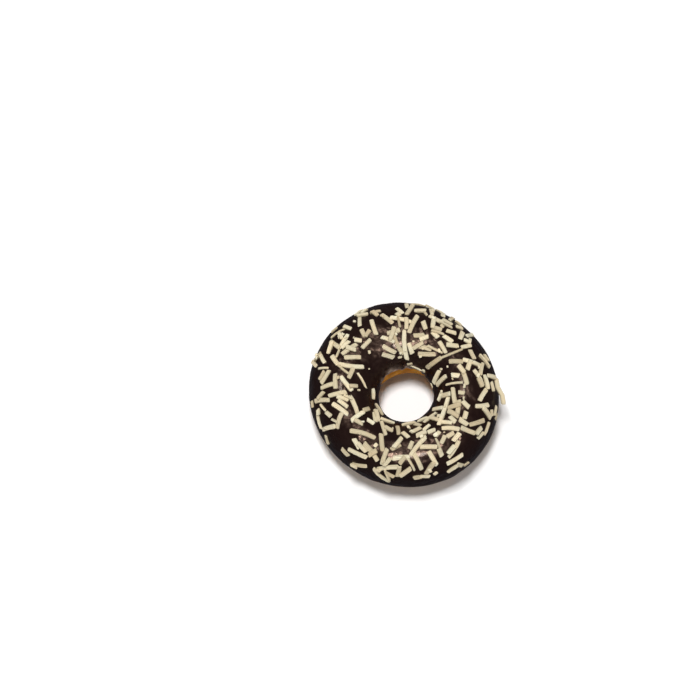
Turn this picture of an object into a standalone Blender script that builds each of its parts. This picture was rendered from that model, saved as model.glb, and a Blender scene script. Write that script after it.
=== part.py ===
"""A ring doughnut: fried dough, a dark chocolate icing shell, and white chocolate batons fused to the icing.

Units are metres, +Z up. The ring lies flat on its base at z = 0, with its hole about the Z axis.
Clock angles run clockwise from +Y as seen from above. Section angles run from the crest of the ring,
positive towards the rim and negative towards the hole, so +90 is the widest level outside.
Headings are seen from above, anticlockwise from +X.
"""

import math
import random

import bmesh
import bpy
from mathutils import Matrix, Vector
from mathutils.bvhtree import BVHTree

# Driving dimensions of the ring, measured over the icing.
RIM_RADIUS = 0.0449
HOLE_RADIUS = 0.0128
HEIGHT = 0.0290
MIDDLE_HEIGHT = 0.0132
BASE_ROUNDING = 0.0008
ICING_THICKNESS = 0.0013
SEAT_GAP = 0.00035

# The ring is uneven: a swelling on one side, slightly oval in plan, its hole off centre and oval too.
SWELL_CLOCK = 310
RIM_SWELL = 0.0004
RIM_OVAL = 0.0011
HOLE_SHIFT_CLOCK = 154
HOLE_SHIFT = 0.0019
HOLE_OVAL_CLOCK = 65
HOLE_OVAL = 0.0005
CREST_WAVES = ((1, 0.0004, 120), (3, 0.0003, 20))  # Times around, size and clock angle of the peak.

# The ring's own centre. The jutting baton moves it off the middle of the whole.
RING_CENTRE = Vector((-0.0008, -0.0003, 0))

# How far the icing runs, as section angles in degrees. Each drip has a clock angle, a run and a spread.
EDGE_OUTSIDE = 101
EDGE_WAVES = ((1, 5, 185), (3, 2, 10))  # Times around, size and clock angle of the peak.
DRIPS = ((18, 8, 9), (74, 7, 9), (141, 10, 8), (203, 8, 10), (262, 9, 9), (316, 6, 12))
EDGE_IN_HOLE = -92
HOLE_EDGE_WAVES = ((5, 2, 30),)
BARE_HOLE_CLOCK = 345
BARE_HOLE_SPREAD = 58
BARE_HOLE_RISE = 17
BARE_HOLE_FADE = 11

# Where the hole's wall is bare, the dough swells out to the icing's own face: degrees past the icing's edge.
SWELL_START = 3
SWELL_RAMP = 30
SWELL_END = 130
SWELL_FADE = 35

# The icing is thicker just inside its edge. These are shares of its thickness and of its width.
LIP_SWELL = 0.25
LIP_PLACE = 0.06
LIP_SPREAD = 0.05
EDGE_THICKNESS = 0.6

# Resolution of the solids.
STEPS_AROUND = 60
DOUGH_SECTION_STEPS = 20
ICING_OUTSIDE_STEPS = 12
ICING_INSIDE_STEPS = 10

# The batons are flat ribbons of white chocolate, broken to uneven lengths.
BATON_WIDTH = 0.0022
BATON_WIDTHS = (0.86, 1.10)
BATON_THICKNESS = 0.0010
SLIVER_WIDTH = 0.0012
SLIVER_SHARE = 0.08
BATON_LENGTHS = (0.0026, 0.0088, 0.0048)
BATON_SINK = 0.0004
SCATTER_SEED = 12
TRIES = 5
OUTERMOST = 76
HOLE_KEEP_OUT = 0.0114

# How a baton comes to rest on what lies below it.
STATIONS = 8
FEELING_REACH = 0.006
FEELING_STEP = 5
FEELING_SPAN = 125
FEELERS = (-0.4, 0, 0.4)
HIGHEST_PILE = 0.0024
STEEPEST_LEAN = 0.4
WELD = 0.000002

# The longest batons, read off the photograph by eye: clock angle, section angle, length in mm and heading.
LONG_BATONS = (
    (333, 15, 8.5, -73), (357, 18, 11, -17), (350, -24, 10.5, -64), (359, -25, 14.5, -86),
    (338, -28, 7.5, -30), (308, 28, 9, 63), (303, 40, 8.5, -42), (305, 12, 9.5, 35), (300, 0, 8, 2),
    (291, -4, 12.5, -6), (278, 33, 7.5, 50), (275, 15, 8, -88), (273, -3, 9, -52), (4, 42, 10, 72),
    (7, 10, 9.5, 63), (24, -24, 8, -12), (32, -33, 8.5, 2), (47, -40, 10, 38), (79, -3, 9.5, -72),
    (82, 22, 9.5, -57), (76, -48, 8, 27), (70, 48, 8, -28), (264, 12, 9, 10), (251, -12, 12.5, -66),
    (262, 42, 10, 0), (251, 13, 9.5, -36), (243, 24, 8, 67), (243, 50, 9, 18), (238, -8, 7.5, 36),
    (222, 4, 12.5, -17), (216, 40, 10, -20), (203, 0, 8.5, -85), (197, 22, 8.5, 70),
    (193, 40, 10.5, 15), (196, 64, 11, -75), (211, 61, 8, 22), (169, -3, 12, 50), (160, 4, 8, 0),
    (171, 25, 9, -66), (160, 25, 8, -60), (143, 28, 10, 62), (134, -4, 8.5, -4), (126, 22, 8, -20),
    (122, -32, 15.5, 76), (117, 29, 8.5, 14), (104, 28, 7.5, 8), (146, 45, 9, 32),
    (112, -12, 7.5, 82), (100, -25, 8, -80), (140, -48, 9, 35),
)
LONG_SLIVERS = (
    (54, -4, 11, 22), (285, 3, 8.5, -38), (279, -30, 9.5, -53), (85, -24, 8.5, 3), (311, 51, 8, 15),
)
JUTTING_BATON = (91, 64, 13.1, -75)
JUTTING_KICK = 0.25
KICK_LIFT = 0.8

# The short batons lie evenly, further into the hole on one side, but leave patches of icing bare.
SHORT_BATONS = 165
SHORT_SECTION = 10
SHORT_SECTION_WAVES = ((1, 13, 315),)  # Times around, degrees and clock angle of the peak.
SHORT_SECTION_SPREAD = 36
INNERMOST = -66

# The bare patches: clock angle, section angle and reach in mm.
BARE_PATCHES = (
    (312, -42, 6.5), (328, -18, 5), (280, -44, 4.5), (264, -30, 4.5), (243, -42, 3.5), (233, 38, 7),
    (228, 12, 3), (350, 52, 5.5), (183, 66, 5.5), (160, 62, 5), (28, -52, 3.5), (62, -28, 4),
    (95, 9, 3.8), (110, 12, 3), (136, 44, 4), (58, 58, 6), (276, 62, 5), (304, 62, 4.5), (188, -48, 3),
)

DOUGH_COLOUR = (0.42, 0.19, 0.045, 1)
ICING_COLOUR = (0.020, 0.010, 0.008, 1)


def wave(clock, times, peak):
    """A ripple that runs this many times around the ring, highest at a clock angle in degrees."""
    return math.cos(times * (clock - math.radians(peak)))


def waves(clock, table):
    return sum(size * wave(clock, times, peak) for times, size, peak in table)


def rim_radius(clock):
    return RIM_RADIUS + RIM_SWELL * wave(clock, 1, SWELL_CLOCK) + RIM_OVAL * wave(clock, 2, SWELL_CLOCK)


def hole_radius(clock):
    shift = HOLE_SHIFT * wave(clock, 1, HOLE_SHIFT_CLOCK)
    return HOLE_RADIUS + shift + HOLE_OVAL * wave(clock, 2, HOLE_OVAL_CLOCK)


def section_at(clock):
    """The dough's section at a clock angle: its centre's radius, half width, and half heights up and down."""
    cover = ICING_THICKNESS + SEAT_GAP
    centre = (rim_radius(clock) + hole_radius(clock)) / 2
    half_width = (rim_radius(clock) - hole_radius(clock)) / 2 - cover
    crest = HEIGHT - cover + waves(clock, CREST_WAVES)
    return centre, half_width, crest - MIDDLE_HEIGHT, MIDDLE_HEIGHT + BASE_ROUNDING


def ring_point(clock, section, lift):
    """The point at these two angles, lifted off the dough's surface along its normal."""
    centre, half_width, rise, drop = section_at(clock)
    half_height = rise if math.cos(section) > 0 else drop
    out, up = math.sin(section), math.cos(section)
    normal = Vector((out / half_width, up / half_height)).normalized()
    radius = centre + half_width * out + normal.x * lift
    height = MIDDLE_HEIGHT + half_height * up + normal.y * lift
    return RING_CENTRE + Vector((radius * math.sin(clock), radius * math.cos(clock), height))


def degrees_apart(clock, peak):
    return abs((math.degrees(clock) - peak + 180) % 360 - 180)


def bare_share(clock):
    """1 where the icing stops high in the hole, 0 where it runs down its wall."""
    past_bare = degrees_apart(clock, BARE_HOLE_CLOCK) - BARE_HOLE_SPREAD
    return 1 / (1 + math.exp(past_bare / BARE_HOLE_FADE))


def icing_edges(clock):
    """Section angles, in radians, where the icing ends in the hole and outside."""
    outside = EDGE_OUTSIDE + waves(clock, EDGE_WAVES)
    for peak, run, spread in DRIPS:
        outside += run * math.exp(-((degrees_apart(clock, peak) / spread) ** 2))
    in_hole = EDGE_IN_HOLE + BARE_HOLE_RISE * bare_share(clock) + waves(clock, HOLE_EDGE_WAVES)
    return math.radians(in_hole), math.radians(outside)


def smooth_step(x):
    x = max(0, min(1, x))
    return x * x * (3 - 2 * x)


def dough_swell(clock, section):
    """How far the bare dough in the hole stands out past the ring's plain section."""
    past_edge = math.degrees(icing_edges(clock)[0] - section) - SWELL_START
    before_base = SWELL_END + SWELL_FADE + math.degrees(section)
    share = smooth_step(past_edge / SWELL_RAMP) * smooth_step(before_base / SWELL_FADE)
    return (ICING_THICKNESS + SEAT_GAP) * bare_share(clock) * share


def material(name, colour, roughness):
    made = bpy.data.materials.new(name)
    made.use_nodes = True
    shader = made.node_tree.nodes["Principled BSDF"]
    shader.inputs["Base Color"].default_value = colour
    shader.inputs["Roughness"].default_value = roughness
    made.diffuse_color = colour
    return made


def add_object(name, bm, collection):
    mesh = bpy.data.meshes.new(name)
    bm.to_mesh(mesh)
    bm.free()
    made = bpy.data.objects.new(name, mesh)
    collection.objects.link(made)
    return made


def make_dough(collection, finish):
    """A torus whose points are moved onto the ring's true section, with the base pressed flat."""
    bpy.ops.mesh.primitive_torus_add(
        major_radius=RIM_RADIUS,
        minor_radius=HOLE_RADIUS,
        major_segments=STEPS_AROUND,
        minor_segments=DOUGH_SECTION_STEPS,
    )
    dough = bpy.context.object
    dough.name = dough.data.name = "dough"
    for vertex in dough.data.vertices:
        clock = math.atan2(vertex.co.x, vertex.co.y)
        out = math.hypot(vertex.co.x, vertex.co.y) - RIM_RADIUS
        section = math.atan2(out, vertex.co.z)
        vertex.co = ring_point(clock, section, dough_swell(clock, section))
        vertex.co.z = max(vertex.co.z, 0)
    dough.data.materials.append(finish)
    dough.data.shade_smooth()
    for holder in dough.users_collection:
        holder.objects.unlink(dough)
    collection.objects.link(dough)
    return dough


def icing_profile():
    """The shell's closed section, unrolled: (share of the way from hole to rim, share of the thickness)."""
    turns = [math.pi * (i + 0.5) / ICING_OUTSIDE_STEPS for i in range(ICING_OUTSIDE_STEPS)]
    outer = [0.5 - 0.5 * math.cos(turn) for turn in turns]
    inner = [(i + 0.5) / ICING_INSIDE_STEPS for i in reversed(range(ICING_INSIDE_STEPS))]
    lip = [1 + LIP_SWELL * math.exp(-(((min(s, 1 - s) - LIP_PLACE) / LIP_SPREAD) ** 2)) for s in outer]
    return [(0, EDGE_THICKNESS), *zip(outer, lip), (1, EDGE_THICKNESS), *((s, 0) for s in inner)]


def make_icing(collection, finish):
    """A washer spun from the unrolled section, then curled over the dough."""
    washer_hole, washer_span, washer_depth = 0.02, 0.05, 0.01
    bm = bmesh.new()
    ring = [bm.verts.new((washer_hole + washer_span * s, 0, washer_depth * w)) for s, w in icing_profile()]
    for here, following in zip(ring, ring[1:] + ring[:1]):
        bm.edges.new((here, following))
    bmesh.ops.spin(
        bm, geom=bm.verts[:] + bm.edges[:], axis=(0, 0, 1), cent=(0, 0, 0),
        angle=math.tau, steps=STEPS_AROUND, use_merge=True,
    )
    bmesh.ops.recalc_face_normals(bm, faces=bm.faces[:])
    for vertex in bm.verts:
        clock = math.atan2(vertex.co.x, vertex.co.y)
        share = (math.hypot(vertex.co.x, vertex.co.y) - washer_hole) / washer_span
        in_hole, outside = icing_edges(clock)
        lift = SEAT_GAP + ICING_THICKNESS * vertex.co.z / washer_depth
        vertex.co = ring_point(clock, in_hole + (outside - in_hole) * share, lift)
    icing = add_object("icing", bm, collection)
    icing.data.materials.append(finish)
    return icing


class Pile:
    """The icing's outer face and the batons that already lie on it, as something to rest the next one on."""

    def __init__(self):
        self.batons = []
        self.faces = []
        around = range(0, 360, FEELING_STEP)
        across = range(-FEELING_SPAN, FEELING_SPAN + 1, FEELING_STEP)
        self.corners = [
            ring_point(math.radians(clock), math.radians(section), SEAT_GAP + ICING_THICKNESS)
            for clock in around for section in across
        ]
        rows, columns = len(around), len(across)
        for row in range(rows):
            here, following = row * columns, (row + 1) % rows * columns
            for k in range(columns - 1):
                self.faces.append((here + k, here + k + 1, following + k + 1, following + k))
        self.tree = BVHTree.FromPolygons(self.corners, self.faces)

    def foot(self, clock, section):
        """The point of the icing at these two angles, and its outward normal."""
        lift = SEAT_GAP + ICING_THICKNESS
        step = math.radians(1)
        around = ring_point(clock + step, section, lift) - ring_point(clock - step, section, lift)
        out = ring_point(clock, section + step, lift) - ring_point(clock, section - step, lift)
        return ring_point(clock, section, lift), around.cross(out).normalized()

    def height(self, point, up):
        """How far above a point, along up, the highest thing lies."""
        hit = self.tree.ray_cast(point + FEELING_REACH * up, -up, 2 * FEELING_REACH)
        return FEELING_REACH - hit[3] if hit[0] else -FEELING_REACH

    def rest(self, clock, section, length, width, heading, kick=0):
        """Lay a baton down like a stiff rod. Returns its height above the icing and its matrix.

        A kick is extra lean about the baton's rear end, which stays down.
        """
        point, up = self.foot(clock, section)
        level = Vector((math.cos(heading), math.sin(heading), 0))
        along = (level - level.dot(up) * up).normalized()
        across = up.cross(along)
        supports = []
        for k in range(STATIONS):
            station = length * ((k + 0.5) / STATIONS - 0.5)
            feelers = [point + station * along + side * width * across for side in FEELERS]
            supports.append((station, max(self.height(feeler, up) for feeler in feelers)))
        behind = [support for support in supports if support[0] < 0]
        ahead = [support for support in supports if support[0] > 0]
        rise, lean = max(
            ((a[1] * b[0] - b[1] * a[0]) / (b[0] - a[0]), (b[1] - a[1]) / (b[0] - a[0]))
            for a in behind for b in ahead
        )
        slope = max(-STEEPEST_LEAN, min(STEEPEST_LEAN, lean)) + kick
        lift = min(rise, HIGHEST_PILE) + KICK_LIFT * kick * length / 2
        along = (along + slope * up).normalized()
        up = along.cross(across).normalized()
        centre = point + (lift + BATON_THICKNESS / 2 - BATON_SINK) * up
        turn = Matrix((along, across, up)).transposed().to_4x4()
        size = Matrix.Diagonal((length, width, BATON_THICKNESS, 1))
        return rise, Matrix.Translation(centre) @ turn @ size

    def add(self, placing):
        self.batons.append(placing)
        start = len(self.corners)
        for x in (-0.5, 0.5):
            for y in (-0.5, 0.5):
                for z in (-0.5, 0.5):
                    self.corners.append(placing @ Vector((x, y, z)))
        for face in ((0, 1, 3, 2), (4, 6, 7, 5), (0, 4, 5, 1), (2, 3, 7, 6), (0, 2, 6, 4), (1, 5, 7, 3)):
            self.faces.append(tuple(start + k for k in face))
        self.tree = BVHTree.FromPolygons(self.corners, self.faces)


def leaves_hole_clear(placing):
    ends = [placing @ Vector((x, y, 0.5)) - RING_CENTRE for x in (-0.5, 0, 0.5) for y in (-0.5, 0.5)]
    return all(math.hypot(end.x, end.y) > HOLE_KEEP_OUT for end in ends)


def leaves_patches_bare(clock, section):
    spot = ring_point(clock, section, 0)
    return all(
        (spot - ring_point(math.radians(middle), math.radians(slope), 0)).length > reach / 1000
        for middle, slope, reach in BARE_PATCHES
    )


def drop_short_baton(rng, pile):
    """Let a short baton fall: of a few spots that it may take, it keeps the one where it lies lowest."""
    width = SLIVER_WIDTH if rng.random() < SLIVER_SHARE else BATON_WIDTH * rng.uniform(*BATON_WIDTHS)
    length = rng.triangular(*BATON_LENGTHS)
    tries = []
    while len(tries) < TRIES:
        clock = rng.uniform(0, math.tau)
        slope = rng.gauss(SHORT_SECTION + waves(clock, SHORT_SECTION_WAVES), SHORT_SECTION_SPREAD)
        section = math.radians(slope)
        rise, placing = pile.rest(clock, section, length, width, rng.uniform(0, math.pi))
        on_the_ring = INNERMOST < slope < OUTERMOST and leaves_hole_clear(placing)
        if on_the_ring and leaves_patches_bare(clock, section):
            tries.append((rise, placing))
    pile.add(min(tries, key=lambda tried: tried[0])[1])


def scatter_batons():
    """Lay the long batons where they belong and drop the short ones. Returns the matrix of each baton."""
    rng = random.Random(SCATTER_SEED)
    pile = Pile()
    laid = [(baton, BATON_WIDTH, 0) for baton in LONG_BATONS]
    laid += [(baton, SLIVER_WIDTH, 0) for baton in LONG_SLIVERS]
    laid.append((JUTTING_BATON, BATON_WIDTH, JUTTING_KICK))
    for (clock, section, length, heading), width, kick in laid:
        turn, tilt, bearing = (math.radians(angle) for angle in (clock, section, heading))
        pile.add(pile.rest(turn, tilt, length / 1000, width, bearing, kick)[1])
    for _ in range(SHORT_BATONS):
        drop_short_baton(rng, pile)
    return pile.batons


def fuse(target, pieces):
    """Join a collection's objects onto the target, and keep the one closed body that results."""
    union = target.modifiers.new("fused batons", "BOOLEAN")
    union.operation = "UNION"
    union.operand_type = "COLLECTION"
    union.collection = pieces
    union.solver = "EXACT"
    bpy.context.view_layer.objects.active = target
    bpy.ops.object.modifier_apply(modifier=union.name)
    for piece in list(pieces.objects):
        bpy.data.objects.remove(piece)
    bpy.data.collections.remove(pieces)
    keep_largest_body(target.data)


def keep_largest_body(mesh):
    """Drop loose scraps, and the walls of sealed hollows so that they are filled."""
    bm = bmesh.new()
    bm.from_mesh(mesh)
    bmesh.ops.remove_doubles(bm, verts=bm.verts[:], dist=WELD)
    bmesh.ops.triangulate(bm, faces=bm.faces[:])
    waiting = set(bm.verts)
    bodies = []
    while waiting:
        reached = {waiting.pop()}
        front = list(reached)
        while front:
            vertex = front.pop()
            neighbours = {edge.other_vert(vertex) for edge in vertex.link_edges} - reached
            reached |= neighbours
            front += neighbours
        waiting -= reached
        bodies.append(reached)
    largest = max(bodies, key=len)
    bmesh.ops.delete(bm, geom=[v for v in bm.verts if v not in largest], context="VERTS")
    bm.to_mesh(mesh)
    bm.free()


def main():
    for old in list(bpy.data.objects):
        bpy.data.objects.remove(old)
    doughnut = bpy.data.collections.new("iced_ring_doughnut")
    bpy.context.scene.collection.children.link(doughnut)
    make_dough(doughnut, material("fried_dough", DOUGH_COLOUR, 0.6))
    icing = make_icing(doughnut, material("dark_icing", ICING_COLOUR, 0.3))
    loose = bpy.data.collections.new("batons")
    bpy.context.scene.collection.children.link(loose)
    for number, placing in enumerate(scatter_batons()):
        bm = bmesh.new()
        bmesh.ops.create_cube(bm, size=1, matrix=placing)
        add_object(f"baton_{number}", bm, loose)
    fuse(icing, loose)


main()
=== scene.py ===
"""The looks of an iced ring doughnut: fried crust, dark chocolate icing and grooved white chocolate batons.

Everything is in metres, +Z up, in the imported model's own frame. Clock angles run clockwise from +Y as seen
from above. Section angles run from the crest of the ring, positive towards the rim and negative towards the
hole. Headings are seen from above, anticlockwise from +X.
"""

import math
import random

import bmesh
import bpy
from mathutils import Matrix, Quaternion, Vector, noise
from mathutils.bvhtree import BVHTree


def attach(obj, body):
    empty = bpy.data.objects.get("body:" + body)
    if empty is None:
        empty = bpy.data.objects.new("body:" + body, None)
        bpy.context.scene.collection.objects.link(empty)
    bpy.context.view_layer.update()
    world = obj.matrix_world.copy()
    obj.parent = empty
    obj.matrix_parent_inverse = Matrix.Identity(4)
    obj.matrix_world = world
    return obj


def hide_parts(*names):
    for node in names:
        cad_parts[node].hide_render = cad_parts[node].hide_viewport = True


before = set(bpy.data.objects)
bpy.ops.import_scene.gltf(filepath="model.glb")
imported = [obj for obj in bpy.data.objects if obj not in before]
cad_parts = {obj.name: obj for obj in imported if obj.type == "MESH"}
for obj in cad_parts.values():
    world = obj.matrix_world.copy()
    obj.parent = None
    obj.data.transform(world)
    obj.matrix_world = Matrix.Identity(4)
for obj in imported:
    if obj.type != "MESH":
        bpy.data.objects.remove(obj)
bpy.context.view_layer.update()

# The ring, as the solids have it.
RIM_RADIUS = 0.0449
HOLE_RADIUS = 0.0128
HEIGHT = 0.0290
MIDDLE_HEIGHT = 0.0132
BASE_ROUNDING = 0.0008
ICING_THICKNESS = 0.0013
SEAT_GAP = 0.00035

# The ring is uneven: a swelling on one side, slightly oval in plan, its hole off centre and oval too.
SWELL_CLOCK = 310
RIM_SWELL = 0.0004
RIM_OVAL = 0.0011
HOLE_SHIFT_CLOCK = 154
HOLE_SHIFT = 0.0019
HOLE_OVAL_CLOCK = 65
HOLE_OVAL = 0.0005
CREST_WAVES = ((1, 0.0004, 120), (3, 0.0003, 20))  # Times around, size and clock angle of the peak.

# The ring's own centre. The jutting baton moves it off the middle of the whole.
RING_CENTRE = Vector((-0.0008, -0.0003, 0))

# How far the icing runs, as section angles in degrees. Each drip has a clock angle, a run and a spread.
EDGE_OUTSIDE = 101
EDGE_WAVES = ((1, 5, 185), (3, 2, 10))  # Times around, size and clock angle of the peak.
DRIPS = ((18, 8, 9), (74, 7, 9), (141, 10, 8), (203, 8, 10), (262, 9, 9), (316, 6, 12))
EDGE_IN_HOLE = -92
HOLE_EDGE_WAVES = ((5, 2, 30),)
BARE_HOLE_CLOCK = 345
BARE_HOLE_SPREAD = 58
BARE_HOLE_RISE = 17
BARE_HOLE_FADE = 11

# Where the hole's wall is bare, the dough swells out to the icing's own face: degrees past the icing's edge.
SWELL_START = 3
SWELL_RAMP = 30
SWELL_END = 130
SWELL_FADE = 35

# The icing is thicker just inside its edge, then rounds off. These are shares of its thickness and width.
LIP_SWELL = 0.25
LIP_PLACE = 0.06
LIP_SPREAD = 0.05
EDGE_THICKNESS = 0.4
EDGE_ROUNDING = 14
EDGE_TIP = 0.3

# The batons are flat ribbons of white chocolate, broken to uneven lengths.
BATON_WIDTH = 0.0022
BATON_WIDTHS = (0.86, 1.10)  # Shares of that width, narrowest and widest.
BATON_THICKNESS = 0.0010
SLIVER_WIDTH = 0.0012
SLIVER_SHARE = 0.08
BATON_LENGTHS = (0.0026, 0.0088, 0.0048)  # Of the short ones: shortest, longest and likeliest.
BATON_SINK = 0.0004
SCATTER_SEED = 12
TRIES = 5  # Spots that a falling baton may choose from.
OUTERMOST = 76
HOLE_KEEP_OUT = 0.0114

# How a baton comes to rest. It feels for what lies below it at stations along it and at shares of its width
# across it. The icing that it feels is a grid whose step and span are section angles in degrees.
STATIONS = 8
FEELERS = (-0.4, 0, 0.4)
FEELING_REACH = 0.006
FEELING_STEP = 5
FEELING_SPAN = 125
HIGHEST_PILE = 0.0024
STEEPEST_LEAN = 0.4

# The longest batons, read off the photograph: clock angle, section angle, length in mm and heading.
LONG_BATONS = (
    (333, 15, 8.5, -73), (357, 18, 11, -17), (350, -24, 10.5, -64), (359, -25, 14.5, -86),
    (338, -28, 7.5, -30), (308, 28, 9, 63), (303, 40, 8.5, -42), (305, 12, 9.5, 35), (300, 0, 8, 2),
    (291, -4, 12.5, -6), (278, 33, 7.5, 50), (275, 15, 8, -88), (273, -3, 9, -52), (4, 42, 10, 72),
    (7, 10, 9.5, 63), (24, -24, 8, -12), (32, -33, 8.5, 2), (47, -40, 10, 38), (79, -3, 9.5, -72),
    (82, 22, 9.5, -57), (76, -48, 8, 27), (70, 48, 8, -28), (264, 12, 9, 10), (251, -12, 12.5, -66),
    (262, 42, 10, 0), (251, 13, 9.5, -36), (243, 24, 8, 67), (243, 50, 9, 18), (238, -8, 7.5, 36),
    (222, 4, 12.5, -17), (216, 40, 10, -20), (203, 0, 8.5, -85), (197, 22, 8.5, 70),
    (193, 40, 10.5, 15), (196, 64, 11, -75), (211, 61, 8, 22), (169, -3, 12, 50), (160, 4, 8, 0),
    (171, 25, 9, -66), (160, 25, 8, -60), (143, 28, 10, 62), (134, -4, 8.5, -4), (126, 22, 8, -20),
    (122, -32, 15.5, 76), (117, 29, 8.5, 14), (104, 28, 7.5, 8), (146, 45, 9, 32),
    (112, -12, 7.5, 82), (100, -25, 8, -80), (140, -48, 9, 35),
)
LONG_SLIVERS = (
    (54, -4, 11, 22), (285, 3, 8.5, -38), (279, -30, 9.5, -53), (85, -24, 8.5, 3), (311, 51, 8, 15),
)
JUTTING_BATON = (91, 64, 13.1, -75)
JUTTING_KICK = 0.25  # Extra lean, as a slope.
KICK_LIFT = 0.8  # A share of the rise that the kick gives the baton's middle.

# The short batons lie evenly, further into the hole on one side, but leave patches of icing bare.
SHORT_BATONS = 165
SHORT_SECTION = 10
SHORT_SECTION_WAVES = ((1, 13, 315),)  # Times around, degrees and clock angle of the peak.
SHORT_SECTION_SPREAD = 36
INNERMOST = -66

# The bare patches: clock angle, section angle and reach in mm.
BARE_PATCHES = (
    (312, -42, 6.5), (328, -18, 5), (280, -44, 4.5), (264, -30, 4.5), (243, -42, 3.5), (233, 38, 7),
    (228, 12, 3), (350, 52, 5.5), (183, 66, 5.5), (160, 62, 5), (28, -52, 3.5), (62, -28, 4),
    (95, 9, 3.8), (110, 12, 3), (136, 44, 4), (58, 58, 6), (276, 62, 5), (304, 62, 4.5), (188, -48, 3),
)

# Crumbs broken off the batons: too small for the solids.
CRUMB_NUMBER = 46
CRUMB_SEED = 7
CRUMB_LENGTHS = (0.0007, 0.0022)
CRUMB_SECTIONS = (-50, 62)
CRUMB_WIDTHS = (0.5, 0.9)  # Shares of a crumb's length.
CRUMB_BEVEL = 0.18  # A share of its width.
CRUMB_JITTER = 0.08  # A share of its width.
CRUMB_TONE = (0.6, 0.25)  # Mean and spread.

# Broken pieces at the hole's edge: clock angle, section angle, length and width in mm, and heading.
HOLE_PIECES = (
    (10, -60, 2.6, 1.2, 27), (26, -67, 6.0, 0.6, -50), (42, -67, 1.7, 1.4, 70), (74, -80, 2.6, 1.2, -60),
)

# How finely the pieces are made.
CRUST_STEPS_AROUND = 288
CRUST_STEPS_SECTION = 96
ICING_STEPS_AROUND = 320
ICING_STEPS_OUTSIDE = 72
ICING_STEPS_INSIDE = 26

# Relief of the surfaces: size of the bumps and how far they stand, in metres.
CRUST_BUMPS = ((0.0110, 0.00030), (0.0042, 0.00014), (0.0015, 0.00005))
ICING_BUMPS = ((0.0120, 0.00022), (0.0045, 0.00010))
LIP_BUMPS = ((0.0030, 0.00030), (0.0012, 0.00014))
BATON_BUMPS = ((0.0022, 0.00012), (0.0009, 0.00005))

# The crust rounds into its flat base over about this height, in metres, and sinks by this share of it.
BASE_SOFTNESS = 0.0006
BASE_SINK = 0.7

# The icing's edge in the hole wanders by so many degrees, about so often to a radian.
EDGE_WANDER = 3.5
WANDERS_AROUND = 6

# High in the hole the icing's edge is wrinkled, streaked and so thin that it pales, and its pale streaks are
# also painted highlight standing for glints along the lip. Its very edge is a little thin, and paler, all
# round. The reaches are shares of the icing's width.
LIP_REACH = 0.10
THIN_REACH = 0.05
RIM_REACH = 0.03
RIM_THIN = 0.12
STREAKS_AROUND = 4  # To a radian.
STREAKS_ACROSS = 130  # To the icing's whole width.
STREAK_STAND = 0.00012
STREAK_PALENESS = 0.85
STREAK_CONTRAST = 1.6

# One baton a unit long, wide and thick: the points over its grooved top and under its foot, and how full it
# is at stations along each half.
BATON_TOP = ((-0.5, 0.24), (-0.33, 0.5), (-0.17, 0.38), (0, 0.5), (0.17, 0.38), (0.33, 0.5), (0.5, 0.24))
BATON_FOOT = ((0.5, -0.45), (-0.5, -0.45))
BATON_HALF = ((0.16, 1), (0.45, 1), (0.5, 0.68))

# How the batons differ. Bows and sweep are in metres at each end of a baton of the length given.
BOW_LENGTH = 0.010
BATON_BOWS = (0.0, 0.0002, 0.0005, 0.0009)
BATON_SWEEP = 0.0005
BATON_TAPER = 0.16
BATON_RAGGEDNESS = 0.35
RAGGED_POWER = 5  # Higher keeps the ragged break nearer the baton's ends.
BATON_TONE = (0.60, 0.30)  # Mean and spread.

# The jutting baton is rolled over, in degrees, and cracked sideways, in metres, about a place along it.
JUTTING_ROLL = 50
JUTTING_KINK = 0.0014
KINK_PLACE = 0.22
KINK_SPREAD = 0.22

# The crust's colours. A pair runs from its darker specks or patches to its lighter ones.
CRUST_GOLDEN = ((0.37, 0.175, 0.044), (0.52, 0.275, 0.082))
CRUST_RUDDY = (0.30, 0.125, 0.028)
CRUST_BROWN = ((0.215, 0.086, 0.020), (0.31, 0.135, 0.032))
CRUST_PALE = ((0.60, 0.40, 0.175), (0.72, 0.53, 0.28))
# High in the hole the crust is brighter and more golden: partly its own colour and partly painted light.
CRUST_IN_HOLE_WITH_PAINTED_LIGHT = ((0.58, 0.215, 0.005), (0.84, 0.375, 0.012))

# Where the crust's colours change, in metres: heights above the base, then distances from the Z axis, how far
# the heights waver, and the size of the crust's pores.
BROWN_TOP = (0.0002, 0.0046)
COLLAR_FOOT = (0.0042, 0.0082)
COLLAR_TOP = (0.0135, 0.0160)
HOLE_COLOUR_FOOT = (0.0075, 0.0105)
HOLE_COLOUR_REACH = (0.018, 0.024)
COLLAR_REACH = (0.032, 0.038)
HEIGHT_WAVER = 0.0045
PORE_SIZE = 0.0016

# The icing's colours: thick, in darker and lighter clouds, where it is thin, which is also painted highlight
# on the lip, and the warmth of its gloss.
ICING_DARK = ((0.0075, 0.0028, 0.0022), (0.0150, 0.0062, 0.0050))
ICING_THIN_AND_PAINTED_GLINT = (0.800, 0.610, 0.480)
ICING_GLOSS_TINT = (1.0, 0.80, 0.70)

# The batons' colours. A pair runs from the cooler to the warmer hue of a dark or a light baton.
BATON_DARK = ((0.54, 0.465, 0.307), (0.56, 0.44, 0.275))
BATON_LIGHT = ((0.83, 0.78, 0.580), (0.89, 0.755, 0.515))
BATON_MOTTLE = (0.60, 0.51, 0.34)
# Painted shade: the colour that the grooves are darkened towards.
BATON_GROOVE_SHADE = (0.36, 0.29, 0.18)
# Painted shade: the colour that the long edges are darkened towards.
BATON_EDGE_SHADE = (0.33, 0.275, 0.165)
BATON_GROOVES = 3

# How strongly each of these colours what is under it.
RUDDY_STRENGTH = 0.35
COLLAR_STRENGTH = 0.8
MOTTLE_STRENGTH = 0.26
# Painted shade in the grooves.
GROOVE_SHADE_STRENGTH = 0.24
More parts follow.
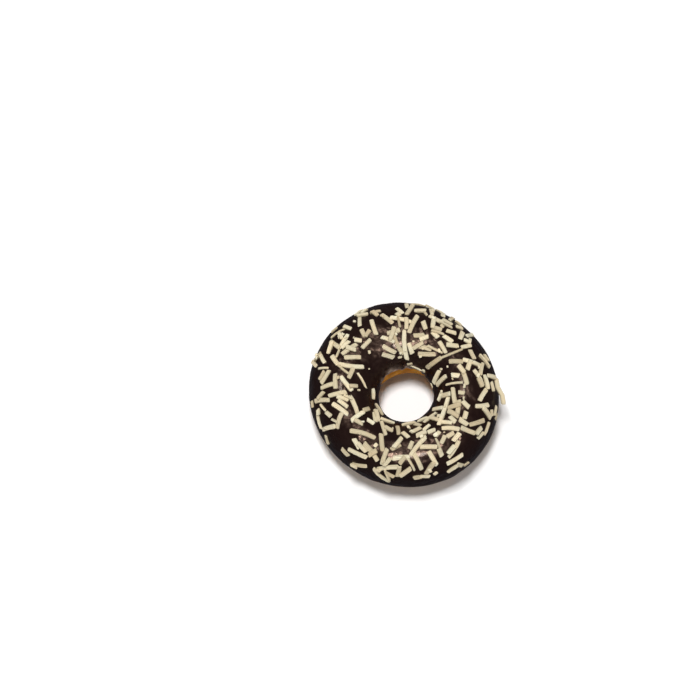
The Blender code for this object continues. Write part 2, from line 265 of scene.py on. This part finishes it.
# Painted shade along the long edges.
EDGE_SHADE_STRENGTH = 0.50

# The floor: half its side in metres, and its two pale tints.
FLOOR_REACH = 3
FLOOR_TINTS = ((0.93, 0.93, 0.93), (0.95, 0.95, 0.95))

# The softboxes: name, place, size, radiance, and whether one shows in the icing's gloss alone.
SOFTBOXES = (
    ("key_box", (-0.09, 0.19, 1.05), 0.26, 54.5, False),
    ("fill_box", (0.08, -0.80, 0.47), 0.30, 6.0, False),
    ("front_box", (0.04, -0.38, 1.00), 0.17, 75.0, True),
    ("side_box", (-0.21, 0.27, 1.00), 0.13, 40.0, True),
)
WHITE_GLOW = (1.0, 1.0, 1.0)
WARM_GLOW = (1.0, 0.84, 0.72)

# The room's own light, and how it shows in gloss.
ROOM_LIGHT = (0.125, 0.127, 0.131, 1)
ROOM_IN_GLOSS = (0.060, 0.058, 0.068, 1)

# The photograph's frame, and where the ring's middle lies in it.
PHOTO_SIDE = 700
RING_MIDDLE_PX = (404.5, 394.4)
RING_ACROSS_PX = 188.2
RING_ACROSS = 0.0900
CAMERA_ELEVATION = 75
CAMERA_LENS = 85
CAMERA_SENSOR = 36
CAMERA_CLIP_START = 0.01
CAMERA_CLIP_END = 20


def wave(clock, times, peak):
    """A ripple that runs this many times around the ring, highest at a clock angle in degrees."""
    return math.cos(times * (clock - math.radians(peak)))


def waves(clock, table):
    """The sum of the ripples in a table."""
    return sum(size * wave(clock, times, peak) for times, size, peak in table)


def rim_radius(clock):
    """The radius of the outside, over the icing, at a clock angle."""
    return RIM_RADIUS + RIM_SWELL * wave(clock, 1, SWELL_CLOCK) + RIM_OVAL * wave(clock, 2, SWELL_CLOCK)


def hole_radius(clock):
    """The radius of the hole, inside the icing, at a clock angle."""
    shift = HOLE_SHIFT * wave(clock, 1, HOLE_SHIFT_CLOCK)
    return HOLE_RADIUS + shift + HOLE_OVAL * wave(clock, 2, HOLE_OVAL_CLOCK)


def section_at(clock):
    """The dough's section at a clock angle: its centre's radius, half width, and half heights up and down."""
    cover = ICING_THICKNESS + SEAT_GAP
    centre = (rim_radius(clock) + hole_radius(clock)) / 2
    half_width = (rim_radius(clock) - hole_radius(clock)) / 2 - cover
    crest = HEIGHT - cover + waves(clock, CREST_WAVES)
    return centre, half_width, crest - MIDDLE_HEIGHT, MIDDLE_HEIGHT + BASE_ROUNDING


def ring_point(clock, section, lift):
    """The point at these two angles, lifted off the dough's surface along its normal."""
    centre, half_width, rise, drop = section_at(clock)
    half_height = rise if math.cos(section) > 0 else drop
    out, up = math.sin(section), math.cos(section)
    normal = Vector((out / half_width, up / half_height)).normalized()
    radius = centre + half_width * out + normal.x * lift
    height = MIDDLE_HEIGHT + half_height * up + normal.y * lift
    return RING_CENTRE + Vector((radius * math.sin(clock), radius * math.cos(clock), height))


def degrees_apart(clock, peak):
    """How many degrees lie between a clock angle in radians and one in degrees."""
    return abs((math.degrees(clock) - peak + 180) % 360 - 180)


def bare_share(clock):
    """1 where the icing stops high in the hole, 0 where it runs down its wall."""
    past_bare = degrees_apart(clock, BARE_HOLE_CLOCK) - BARE_HOLE_SPREAD
    return 1 / (1 + math.exp(past_bare / BARE_HOLE_FADE))


def icing_edges(clock):
    """Section angles, in radians, where the icing ends in the hole and outside."""
    outside = EDGE_OUTSIDE + waves(clock, EDGE_WAVES)
    for peak, run, spread in DRIPS:
        outside += run * math.exp(-((degrees_apart(clock, peak) / spread) ** 2))
    in_hole = EDGE_IN_HOLE + BARE_HOLE_RISE * bare_share(clock) + waves(clock, HOLE_EDGE_WAVES)
    return math.radians(in_hole), math.radians(outside)


def smooth_step(x):
    """0 up to 0, 1 from 1 on and a smooth step between them."""
    x = max(0, min(1, x))
    return x * x * (3 - 2 * x)


def dough_swell(clock, section):
    """How far the bare dough in the hole stands out past the ring's plain section."""
    past_edge = math.degrees(icing_edges(clock)[0] - section) - SWELL_START
    before_base = SWELL_END + SWELL_FADE + math.degrees(section)
    share = smooth_step(past_edge / SWELL_RAMP) * smooth_step(before_base / SWELL_FADE)
    return (ICING_THICKNESS + SEAT_GAP) * bare_share(clock) * share


class Pile:
    """The icing's outer face and the batons that already lie on it, as something to rest the next one on."""

    def __init__(self):
        self.batons = []
        self.faces = []
        around = range(0, 360, FEELING_STEP)
        across = range(-FEELING_SPAN, FEELING_SPAN + 1, FEELING_STEP)
        self.corners = [
            ring_point(math.radians(clock), math.radians(section), SEAT_GAP + ICING_THICKNESS)
            for clock in around for section in across
        ]
        rows, columns = len(around), len(across)
        for row in range(rows):
            here, following = row * columns, (row + 1) % rows * columns
            for k in range(columns - 1):
                self.faces.append((here + k, here + k + 1, following + k + 1, following + k))
        self.tree = BVHTree.FromPolygons(self.corners, self.faces)

    def foot(self, clock, section):
        """The point of the icing at these two angles, and its outward normal."""
        lift = SEAT_GAP + ICING_THICKNESS
        step = math.radians(1)
        around = ring_point(clock + step, section, lift) - ring_point(clock - step, section, lift)
        out = ring_point(clock, section + step, lift) - ring_point(clock, section - step, lift)
        return ring_point(clock, section, lift), around.cross(out).normalized()

    def height(self, point, up):
        """How far above a point, along up, the highest thing lies."""
        hit = self.tree.ray_cast(point + FEELING_REACH * up, -up, 2 * FEELING_REACH)
        return FEELING_REACH - hit[3] if hit[0] else -FEELING_REACH

    def rest(self, clock, section, length, width, heading, kick=0):
        """Lay a baton down like a stiff rod. Returns its height above the icing and its matrix.

        A kick is extra lean about the baton's rear end, which stays down.
        """
        point, up = self.foot(clock, section)
        level = Vector((math.cos(heading), math.sin(heading), 0))
        along = (level - level.dot(up) * up).normalized()
        across = up.cross(along)
        supports = []
        for k in range(STATIONS):
            station = length * ((k + 0.5) / STATIONS - 0.5)
            feelers = [point + station * along + side * width * across for side in FEELERS]
            supports.append((station, max(self.height(feeler, up) for feeler in feelers)))
        behind = [support for support in supports if support[0] < 0]
        ahead = [support for support in supports if support[0] > 0]
        rise, lean = max(
            ((a[1] * b[0] - b[1] * a[0]) / (b[0] - a[0]), (b[1] - a[1]) / (b[0] - a[0]))
            for a in behind for b in ahead
        )
        slope = max(-STEEPEST_LEAN, min(STEEPEST_LEAN, lean)) + kick
        lift = min(rise, HIGHEST_PILE) + KICK_LIFT * kick * length / 2
        along = (along + slope * up).normalized()
        up = along.cross(across).normalized()
        centre = point + (lift + BATON_THICKNESS / 2 - BATON_SINK) * up
        turn = Matrix((along, across, up)).transposed().to_4x4()
        size = Matrix.Diagonal((length, width, BATON_THICKNESS, 1))
        return rise, Matrix.Translation(centre) @ turn @ size

    def add(self, placing):
        """Leave a baton where it lies, for the next ones to rest on."""
        self.batons.append(placing)
        start = len(self.corners)
        for x in (-0.5, 0.5):
            for y in (-0.5, 0.5):
                for z in (-0.5, 0.5):
                    self.corners.append(placing @ Vector((x, y, z)))
        for face in ((0, 1, 3, 2), (4, 6, 7, 5), (0, 4, 5, 1), (2, 3, 7, 6), (0, 2, 6, 4), (1, 5, 7, 3)):
            self.faces.append(tuple(start + k for k in face))
        self.tree = BVHTree.FromPolygons(self.corners, self.faces)


def leaves_hole_clear(placing):
    """Whether a baton keeps out of the hole."""
    ends = [placing @ Vector((x, y, 0.5)) - RING_CENTRE for x in (-0.5, 0, 0.5) for y in (-0.5, 0.5)]
    return all(math.hypot(end.x, end.y) > HOLE_KEEP_OUT for end in ends)


def leaves_patches_bare(clock, section):
    """Whether a baton's middle keeps out of the bare patches."""
    spot = ring_point(clock, section, 0)
    return all(
        (spot - ring_point(math.radians(middle), math.radians(slope), 0)).length > reach / 1000
        for middle, slope, reach in BARE_PATCHES
    )


def drop_short_baton(rng, pile):
    """Let a short baton fall: of a few spots that it may take, it keeps the one where it lies lowest."""
    width = SLIVER_WIDTH if rng.random() < SLIVER_SHARE else BATON_WIDTH * rng.uniform(*BATON_WIDTHS)
    length = rng.triangular(*BATON_LENGTHS)
    tries = []
    while len(tries) < TRIES:
        clock = rng.uniform(0, math.tau)
        slope = rng.gauss(SHORT_SECTION + waves(clock, SHORT_SECTION_WAVES), SHORT_SECTION_SPREAD)
        section = math.radians(slope)
        rise, placing = pile.rest(clock, section, length, width, rng.uniform(0, math.pi))
        on_the_ring = INNERMOST < slope < OUTERMOST and leaves_hole_clear(placing)
        if on_the_ring and leaves_patches_bare(clock, section):
            tries.append((rise, placing))
    pile.add(min(tries, key=lambda tried: tried[0])[1])


def scatter_batons():
    """Lay the long batons where they belong and drop the short ones. Returns the pile."""
    rng = random.Random(SCATTER_SEED)
    pile = Pile()
    laid = [(baton, BATON_WIDTH, 0) for baton in LONG_BATONS]
    laid += [(baton, SLIVER_WIDTH, 0) for baton in LONG_SLIVERS]
    laid.append((JUTTING_BATON, BATON_WIDTH, JUTTING_KICK))
    for (clock, section, length, heading), width, kick in laid:
        turn, tilt, bearing = (math.radians(angle) for angle in (clock, section, heading))
        pile.add(pile.rest(turn, tilt, length / 1000, width, bearing, kick)[1])
    for _ in range(SHORT_BATONS):
        drop_short_baton(rng, pile)
    return pile


def relief(point, bumps):
    """Height of layered bumps at a point."""
    return sum(stand * noise.noise(point / size) for size, stand in bumps)


def add_piece(name, bm, finish):
    """Turn a finished bmesh into an object at the origin that moves with the whole."""
    mesh = bpy.data.meshes.new(name)
    bm.to_mesh(mesh)
    bm.free()
    mesh.materials.append(finish)
    mesh.shade_smooth()
    made = bpy.data.objects.new(name, mesh)
    bpy.context.scene.collection.objects.link(made)
    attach(made, "root")
    return made


class Wire:
    """A number or colour that flows out of a node's socket, with arithmetic that adds nodes."""

    def __init__(self, mix, socket):
        self.mix = mix
        self.socket = socket

    def __add__(self, other):
        return self.mix.maths("ADD", self, other)

    __radd__ = __add__

    def __mul__(self, other):
        return self.mix.maths("MULTIPLY", self, other)

    __rmul__ = __mul__

    def __sub__(self, other):
        return self.mix.maths("SUBTRACT", self, other)

    def __rsub__(self, other):
        return self.mix.maths("SUBTRACT", other, self)

    def between(self, low, high):
        """0 below low, 1 above high and a smooth step between them."""
        settings = {"interpolation_type": "SMOOTHSTEP"}
        values = {"Value": self, "From Min": low, "From Max": high}
        return self.mix.add("ShaderNodeMapRange", settings, values)


class Finish:
    """A procedural material, mixed node by node."""

    def __init__(self, name):
        self.material = bpy.data.materials.new(name)
        self.material.use_nodes = True
        self.tree = self.material.node_tree
        self.shader = self.tree.nodes["Principled BSDF"]

    def add(self, kind, settings, values, output=0):
        """Add a node: its settings first, then its sockets' values or wires. Returns one output's wire."""
        node = self.tree.nodes.new(kind)
        for name, setting in settings.items():
            setattr(node, name, setting)
        for name, value in values.items():
            self.plug(self.find(node.inputs, name), value)
        return Wire(self, self.find(node.outputs, output))

    @staticmethod
    def find(sockets, name):
        """A socket by its number, or the one of that name that is in use."""
        if isinstance(name, int):
            return sockets[name]
        return next(socket for socket in sockets if socket.enabled and socket.name == name)

    def plug(self, socket, value):
        if isinstance(value, Wire):
            self.tree.links.new(value.socket, socket)
        elif socket.type == "RGBA" and len(value) == 3:
            socket.default_value = (*value, 1)
        else:
            socket.default_value = value

    def maths(self, operation, first, second):
        return self.add("ShaderNodeMath", {"operation": operation}, {0: first, 1: second})

    def place(self):
        """The point on the piece, in metres."""
        return self.add("ShaderNodeTexCoord", {}, {}, "Object")

    def axes(self, vector):
        """The three numbers of a vector."""
        parts = self.add("ShaderNodeSeparateXYZ", {}, {"Vector": vector})
        return [Wire(self, socket) for socket in parts.socket.node.outputs]

    def grain(self, size, detail=2, roughness=0.5):
        """Smooth noise from 0 to 1 whose lumps are about this size in metres."""
        values = {"Scale": 1 / size, "Detail": detail, "Roughness": roughness, "Vector": self.place()}
        return self.add("ShaderNodeTexNoise", {}, values, "Fac")

    def blend(self, share, first, second):
        """The first colour at a share of 0 and the second at 1."""
        settings = {"data_type": "RGBA"}
        wire = self.add("ShaderNodeMix", settings, {"Factor": share, "A": first, "B": second})
        return Wire(self, self.find(wire.socket.node.outputs, "Result"))

    def tag(self, name):
        """A number kept on the mesh's points."""
        return self.add("ShaderNodeAttribute", {"attribute_name": name}, {}, "Fac")

    def bump(self, height, distance):
        """The normal of a surface whose height of 1 stands so many metres."""
        values = {"Height": height, "Distance": distance}
        return self.add("ShaderNodeBump", {}, values, "Normal")

    def finish(self, **values):
        """Set the shader's own sockets, named with underscores for spaces."""
        for name, value in values.items():
            self.plug(self.shader.inputs[name.replace("_", " ")], value)
        return self.material


def crust_finish():
    """Fried dough: golden, brighter high in the hole (partly its own colour, partly painted light), pale just
    under the icing and brown at the base.
    """
    mix = Finish("fried_dough")
    place = mix.place()
    x, y, z = mix.axes(place)
    radius = mix.maths("SQRT", x * x + y * y, 0)
    lumps = mix.grain(size=0.009, detail=4)
    specks = mix.grain(size=0.0011, detail=3, roughness=0.6)
    height = z + (lumps - 0.5) * HEIGHT_WAVER
    patches = mix.grain(size=0.0045, detail=2).between(0.30, 0.70)
    brown = mix.blend(specks, *CRUST_BROWN)
    golden = mix.blend(specks, *CRUST_GOLDEN)
    golden = mix.blend(patches * RUDDY_STRENGTH, golden, CRUST_RUDDY)
    # Partly painted light: a brighter golden for the crust high in the hole.
    in_hole = mix.blend(patches, *CRUST_IN_HOLE_WITH_PAINTED_LIGHT)
    pale = mix.blend(specks, *CRUST_PALE)
    hole_painted_light_share = (1 - radius.between(*HOLE_COLOUR_REACH)) * height.between(*HOLE_COLOUR_FOOT)
    outside = radius.between(*COLLAR_REACH)
    collar = height.between(*COLLAR_FOOT) * (1 - height.between(*COLLAR_TOP)) * outside
    colour = mix.blend(1 - height.between(*BROWN_TOP), golden, brown)
    colour = mix.blend(hole_painted_light_share, colour, in_hole)
    colour = mix.blend(collar * COLLAR_STRENGTH, colour, pale)
    pore_values = {"Scale": 1 / PORE_SIZE, "Vector": place}
    pores = mix.add("ShaderNodeTexVoronoi", {"feature": "SMOOTH_F1"}, pore_values, "Distance")
    skin = pores * 0.6 + mix.grain(size=0.0006, detail=2) * 0.5
    return mix.finish(
        Base_Color=colour,
        Roughness=0.52 + 0.2 * specks,
        Specular_IOR_Level=0.20,
        Normal=mix.bump(skin, distance=0.00016),
    )


def icing_finish():
    """Set dark chocolate: nearly black, pale brown where its edge runs thin and in painted highlight streaks
    on its lip, with a soft dimpled gloss.
    """
    mix = Finish("dark_icing")
    clouds = mix.grain(size=0.014, detail=3)
    # Pale where the icing is thin, and painted highlight: the pale streaks on the lip stand for glints.
    thin = mix.tag("thin_edge_and_painted_glint") * mix.grain(size=0.0020, detail=2).between(0.26, 0.50)
    colour = mix.blend(clouds, *ICING_DARK)
    colour = mix.blend(thin, colour, ICING_THIN_AND_PAINTED_GLINT)
    dimples = mix.grain(size=0.0042, detail=1, roughness=0.4) + mix.grain(size=0.0012, detail=1) * 0.06
    return mix.finish(
        Base_Color=colour,
        Roughness=0.20 + 0.20 * mix.grain(size=0.006, detail=2) - 0.08 * thin,
        Specular_IOR_Level=0.50,
        Specular_Tint=ICING_GLOSS_TINT,
        Coat_Weight=0.13 + 0.3 * thin,
        Coat_Roughness=0.08,
        Normal=mix.bump(dimples, distance=0.0009),
    )


def baton_finish():
    """White chocolate: cream, each baton lighter or darker, dull and mottled, with painted shade in its
    grooves and along its long edges.
    """
    mix = Finish("white_batons")
    tone = mix.tag("tone")
    _, across, _ = mix.axes(mix.add("ShaderNodeUVMap", {"uv_map": "grooves"}, {}))
    ribs = mix.maths("COSINE", across * (math.tau * BATON_GROOVES) - math.pi, 0) * 0.5 + 0.5
    dark = mix.blend(mix.grain(size=0.006).between(0.35, 0.65), *BATON_DARK)
    light = mix.blend(mix.grain(size=0.007).between(0.35, 0.65), *BATON_LIGHT)
    colour = mix.blend(tone, dark, light)
    mottle = mix.grain(size=0.0014, detail=3, roughness=0.6).between(0.35, 0.75)
    colour = mix.blend(mottle * MOTTLE_STRENGTH, colour, BATON_MOTTLE)
    # Painted shade: the grooves between the ribs are darkened.
    colour = mix.blend((1 - ribs) * GROOVE_SHADE_STRENGTH, colour, BATON_GROOVE_SHADE)
    # Painted shade: each baton is darkened along its long edges.
    edges = mix.maths("ABSOLUTE", across - 0.5, 0).between(0.30, 0.50)
    colour = mix.blend(edges * EDGE_SHADE_STRENGTH, colour, BATON_EDGE_SHADE)
    skin = ribs * 0.4 + mix.grain(size=0.00045, detail=2) * 0.5
    return mix.finish(
        Base_Color=colour,
        Roughness=0.62,
        Specular_IOR_Level=0.35,
        Normal=mix.bump(skin, distance=0.00014),
    )


def make_crust():
    """The fried ring: a circle spun into a torus, moved onto the ring's section and roughened."""
    bm = bmesh.new()
    lay = Matrix.Translation((RIM_RADIUS, 0, 0)) @ Matrix.Rotation(math.pi / 2, 4, "X")
    bmesh.ops.create_circle(bm, segments=CRUST_STEPS_SECTION, radius=HOLE_RADIUS, matrix=lay)
    bmesh.ops.spin(
        bm, geom=bm.verts[:] + bm.edges[:], axis=(0, 0, 1), cent=(0, 0, 0),
        angle=math.tau, steps=CRUST_STEPS_AROUND, use_merge=True,
    )
    bmesh.ops.recalc_face_normals(bm, faces=bm.faces[:])
    for vertex in bm.verts:
        clock = math.atan2(vertex.co.x, vertex.co.y)
        section = math.atan2(math.hypot(vertex.co.x, vertex.co.y) - RIM_RADIUS, vertex.co.z)
        smooth = ring_point(clock, section, 0)
        point = ring_point(clock, section, dough_swell(clock, section) + relief(smooth, CRUST_BUMPS))
        # The base is pressed flat, and rounds into the side over a short height.
        rounded = BASE_SOFTNESS * math.log1p(math.exp(point.z / BASE_SOFTNESS))
        point.z = max(point.z, rounded - BASE_SOFTNESS * BASE_SINK, 0)
        vertex.co = point
    return add_piece("fried_ring", bm, crust_finish())


def icing_profile():
    """The shell's closed section, unrolled: (share of the way from hole to rim, share of the thickness)."""
    turns = [math.pi * (i + 0.5) / ICING_STEPS_OUTSIDE for i in range(ICING_STEPS_OUTSIDE)]
    outer = [0.5 - 0.5 * math.cos(turn) for turn in turns]
    inner = [(i + 0.5) / ICING_STEPS_INSIDE for i in reversed(range(ICING_STEPS_INSIDE))]
    lip = []
    for s in outer:
        from_edge = min(s, 1 - s)
        rounding = min(1, (EDGE_THICKNESS + EDGE_ROUNDING * from_edge) ** 0.5)
        lip.append(rounding + LIP_SWELL * math.exp(-(((from_edge - LIP_PLACE) / LIP_SPREAD) ** 2)))
    return [(0, EDGE_TIP), *zip(outer, lip), (1, EDGE_TIP), *((s, 0) for s in inner)]


def make_icing():
    """The icing shell: a washer spun from its unrolled section, then curled over the dough."""
    washer_hole, washer_span, washer_depth = 0.02, 0.05, 0.01
    bm = bmesh.new()
    thin_edge_and_painted_glint = bm.verts.layers.float.new("thin_edge_and_painted_glint")
    ring = [bm.verts.new((washer_hole + washer_span * s, 0, washer_depth * w)) for s, w in icing_profile()]
    for here, following in zip(ring, ring[1:] + ring[:1]):
        bm.edges.new((here, following))
    bmesh.ops.spin(
        bm, geom=bm.verts[:] + bm.edges[:], axis=(0, 0, 1), cent=(0, 0, 0),
        angle=math.tau, steps=ICING_STEPS_AROUND, use_merge=True,
    )
    bmesh.ops.recalc_face_normals(bm, faces=bm.faces[:])
    for vertex in bm.verts:
        clock = math.atan2(vertex.co.x, vertex.co.y)
        share = (math.hypot(vertex.co.x, vertex.co.y) - washer_hole) / washer_span
        in_hole, outside = icing_edges(clock)
        around = Vector((math.cos(clock), math.sin(clock), 0))
        in_hole += math.radians(EDGE_WANDER) * noise.noise(around * WANDERS_AROUND)
        section = in_hole + (outside - in_hole) * share
        thickness = vertex.co.z / washer_depth
        smooth = ring_point(clock, section, ICING_THICKNESS)
        lift = SEAT_GAP + ICING_THICKNESS * thickness + thickness * relief(smooth, ICING_BUMPS)
        wrinkled = bare_share(clock) * math.exp(-((share / LIP_REACH) ** 2))
        streak = noise.noise(around * STREAKS_AROUND + Vector((0, 0, STREAKS_ACROSS * share)))
        lift += thickness * wrinkled * (relief(smooth, LIP_BUMPS) + STREAK_STAND * streak)
        # The pale streaks are partly thin icing and partly painted highlight standing for glints on the lip.
        thin_and_painted_glint_streak = smooth_step(STREAK_PALENESS + STREAK_CONTRAST * streak)
        thin = bare_share(clock) * math.exp(-((share / THIN_REACH) ** 2)) * thin_and_painted_glint_streak
        vertex[thin_edge_and_painted_glint] = max(thin, RIM_THIN * math.exp(-((min(share, 1 - share) / RIM_REACH) ** 2)))
        vertex.co = ring_point(clock, section, lift)
    piece = add_piece("icing_shell", bm, icing_finish())
    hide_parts("icing")
    return piece


def baton_blank():
    """One grooved baton, a unit long, wide and thick, with its ends drawn in.

    Its UV map runs along it and across it.
    """
    section = BATON_TOP + BATON_FOOT
    stations = [(-x, fill) for x, fill in reversed(BATON_HALF)] + list(BATON_HALF)
    bm = bmesh.new()
    start, fill = stations[0]
    face = bm.faces.new([bm.verts.new((start, y * fill, z * fill)) for y, z in section])
    for (here, _), (following, next_fill) in zip(stations, stations[1:]):
        made = bmesh.ops.extrude_face_region(bm, geom=[face])["geom"]
        verts = [item for item in made if isinstance(item, bmesh.types.BMVert)]
        bmesh.ops.translate(bm, verts=verts, vec=(following - here, 0, 0))
        bmesh.ops.scale(bm, verts=verts, vec=(1, next_fill / fill, next_fill / fill))
        face = next(item for item in made if isinstance(item, bmesh.types.BMFace))
        fill = next_fill
    bmesh.ops.recalc_face_normals(bm, faces=bm.faces[:])
    grooves = bm.loops.layers.uv.new("grooves")
    for face in bm.faces:
        for loop in face.loops:
            loop[grooves].uv = (loop.vert.co.x + 0.5, loop.vert.co.y + 0.5)
    mesh = bpy.data.meshes.new("baton_blank")
    bm.to_mesh(mesh)
    bm.free()
    return mesh


def add_baton(bm, blank, placing, rng, kink=0):
    """Copy the blank into place, bowed down and swept sideways at its ends and broken off unevenly.

    A kink is how far it is cracked sideways, in metres.
    """
    tone = bm.verts.layers.float["tone"]
    length, width, thickness = (column.length for column in placing.to_3x3().transposed())
    up = placing.to_3x3().col[2].normalized()
    before = len(bm.verts)
    bm.from_mesh(blank)
    bm.verts.ensure_lookup_table()
    shade = min(1, max(0, rng.gauss(*BATON_TONE)))
    long_share = (length / BOW_LENGTH) ** 2
    droop = rng.choice(BATON_BOWS) * long_share / thickness
    sweep = rng.uniform(-BATON_SWEEP, BATON_SWEEP) * long_share / width
    skews = {end: rng.uniform(-BATON_RAGGEDNESS, BATON_RAGGEDNESS) for end in (-1, 1)}
    taper = rng.uniform(-BATON_TAPER, BATON_TAPER)
    for vertex in bm.verts[before:]:
        station, y, z = vertex.co
        end = 1 if station > 0 else -1
        to_end = 4 * station ** 2  # 0 in the baton's middle and 1 at either end.
        ends_only = abs(2 * station) ** RAGGED_POWER
        x = station + skews[end] * y * ends_only * width / length
        y = y * (1 + taper * x) + sweep * to_end
        y += kink / width * max(0, 1 - abs(station - KINK_PLACE) / KINK_SPREAD)
        z -= droop * to_end
        vertex[tone] = shade
        point = placing @ Vector((x, y, z))
        vertex.co = point + relief(point, BATON_BUMPS) * up


def make_batons(pile):
    """All the batons as one piece, each a copy of the blank where it lies on the pile."""
    bm = bmesh.new()
    bm.verts.layers.float.new("tone")
    blank = baton_blank()
    rng = random.Random(SCATTER_SEED + 1)
    jutting = len(LONG_BATONS) + len(LONG_SLIVERS)
    for number, placing in enumerate(pile.batons):
        if number == jutting:
            place, turn, size = placing.decompose()
            rolled = turn @ Quaternion((1, 0, 0), math.radians(JUTTING_ROLL))
            add_baton(bm, blank, Matrix.LocRotScale(place, rolled, size), rng, JUTTING_KINK)
        else:
            add_baton(bm, blank, placing, rng)
    piece = add_piece("white_batons", bm, baton_finish())
    piece.data.shade_flat()
    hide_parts("icing")
    bpy.data.meshes.remove(blank)
    return piece


def make_crumbs(pile, finish):
    """Small broken bits that lie on the icing and between the batons."""
    bm = bmesh.new()
    tone = bm.verts.layers.float.new("tone")
    grooves = bm.loops.layers.uv.new("grooves")
    rng = random.Random(CRUMB_SEED)
    pieces = [
        (math.radians(clock), math.radians(section), length / 1000, width / 1000, math.radians(heading))
        for clock, section, length, width, heading in HOLE_PIECES
    ]
    for _ in range(CRUMB_NUMBER):
        clock = rng.uniform(0, math.tau)
        section = math.radians(rng.uniform(*CRUMB_SECTIONS))
        length = rng.uniform(*CRUMB_LENGTHS)
        pieces.append((clock, section, length, length * rng.uniform(*CRUMB_WIDTHS), rng.uniform(0, math.pi)))
    for clock, section, length, width, heading in pieces:
        _, placing = pile.rest(clock, section, length, width, heading)
        corners = bmesh.ops.create_cube(bm, size=1, matrix=placing)["verts"]
        edges = list({edge for corner in corners for edge in corner.link_edges})
        bevelled = bmesh.ops.bevel(
            bm, geom=edges, offset=width * CRUMB_BEVEL, affect="EDGES", segments=1, profile=0.5, material=-1
        )
        shade = min(1, max(0, rng.gauss(*CRUMB_TONE)))
        for vertex in bevelled["verts"]:
            vertex[tone] = shade
            vertex.co += Vector([rng.uniform(-1, 1) for _ in range(3)]) * width * CRUMB_JITTER
        pile.add(placing)
    # Every crumb reads the top of a rib all over, so it shows no grooves and none of the painted shade of
    # grooves and edges.
    for face in bm.faces:
        for loop in face.loops:
            loop[grooves].uv = (0.5, 0.5)
    piece = add_piece("baton_crumbs", bm, finish)
    piece.data.shade_flat()
    return piece


def make_floor():
    """A plain pale floor, which doesn't show in the icing's gloss."""
    bm = bmesh.new()
    bmesh.ops.create_grid(bm, x_segments=1, y_segments=1, size=FLOOR_REACH)
    mesh = bpy.data.meshes.new("floor")
    bm.to_mesh(mesh)
    bm.free()
    mix = Finish("pale_floor")
    tint = mix.blend(mix.grain(size=0.3), *FLOOR_TINTS)
    mesh.materials.append(mix.finish(Base_Color=tint, Roughness=0.9))
    floor = bpy.data.objects.new("floor", mesh)
    bpy.context.scene.collection.objects.link(floor)
    floor.visible_glossy = False


def make_softbox(name, place, aim, size, radiance, in_gloss):
    """A square softbox whose glow is given as radiance, so that it holds at any size.

    One in gloss shows in the icing's gloss alone. The others light the scene but don't show in its gloss.
    """
    lamp = bpy.data.lights.new(name, "AREA")
    lamp.color = WARM_GLOW if in_gloss else WHITE_GLOW
    lamp.shape = "SQUARE"
    lamp.size = size
    lamp.energy = radiance * math.pi * size * size
    box = bpy.data.objects.new(name, lamp)
    box.location = place
    box.rotation_euler = (Vector(aim) - Vector(place)).to_track_quat("-Z", "Y").to_euler()
    box.visible_glossy = in_gloss
    box.visible_diffuse = not in_gloss
    bpy.context.scene.collection.objects.link(box)


def light_studio():
    """A dim plain room, a key box from behind, a fill from in front and two warm boxes for the gloss."""
    world = bpy.data.worlds.new("studio")
    bpy.context.scene.world = world
    world.use_nodes = True
    tree = world.node_tree
    glow = tree.nodes["Background"]
    path = tree.nodes.new("ShaderNodeLightPath")
    shade = tree.nodes.new("ShaderNodeMix")
    shade.data_type = "RGBA"
    Finish.find(shade.inputs, "A").default_value = ROOM_LIGHT
    Finish.find(shade.inputs, "B").default_value = ROOM_IN_GLOSS
    tree.links.new(path.outputs["Is Glossy Ray"], Finish.find(shade.inputs, "Factor"))
    tree.links.new(Finish.find(shade.outputs, "Result"), glow.inputs["Color"])
    for name, place, size, radiance, in_gloss in SOFTBOXES:
        make_softbox(name, place, (0, 0, MIDDLE_HEIGHT), size, radiance, in_gloss)


def set_camera():
    """Look at the ring from the photograph's angle, with the ring where the photograph has it."""
    lens = bpy.data.cameras.new("photo_camera")
    lens.lens = CAMERA_LENS
    lens.sensor_width = CAMERA_SENSOR
    camera = bpy.data.objects.new("photo_camera", lens)
    bpy.context.scene.collection.objects.link(camera)
    bpy.context.scene.camera = camera
    tilt = math.radians(CAMERA_ELEVATION)
    back = Vector((0, -math.cos(tilt), math.sin(tilt)))
    up = Vector((0, math.sin(tilt), math.cos(tilt)))
    per_pixel = RING_ACROSS / RING_ACROSS_PX
    right_of_middle = (RING_MIDDLE_PX[0] - PHOTO_SIDE / 2) * per_pixel
    below_middle = (RING_MIDDLE_PX[1] - PHOTO_SIDE / 2) * per_pixel
    aim = RING_CENTRE + Vector((-right_of_middle, 0, MIDDLE_HEIGHT)) + below_middle * up
    distance = PHOTO_SIDE * per_pixel * CAMERA_LENS / CAMERA_SENSOR
    camera.location = aim + distance * back
    camera.rotation_euler = (-back).to_track_quat("-Z", "Y").to_euler()
    lens.clip_start = CAMERA_CLIP_START
    lens.clip_end = CAMERA_CLIP_END


def main():
    set_camera()
    crust = make_crust()
    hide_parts("dough")
    make_icing()
    pile = scatter_batons()
    batons = make_batons(pile)
    make_crumbs(pile, batons.data.materials[0])
    make_floor()
    light_studio()
    settings = bpy.context.scene.view_settings
    settings.view_transform = "Standard"
    settings.look = "None"


main()
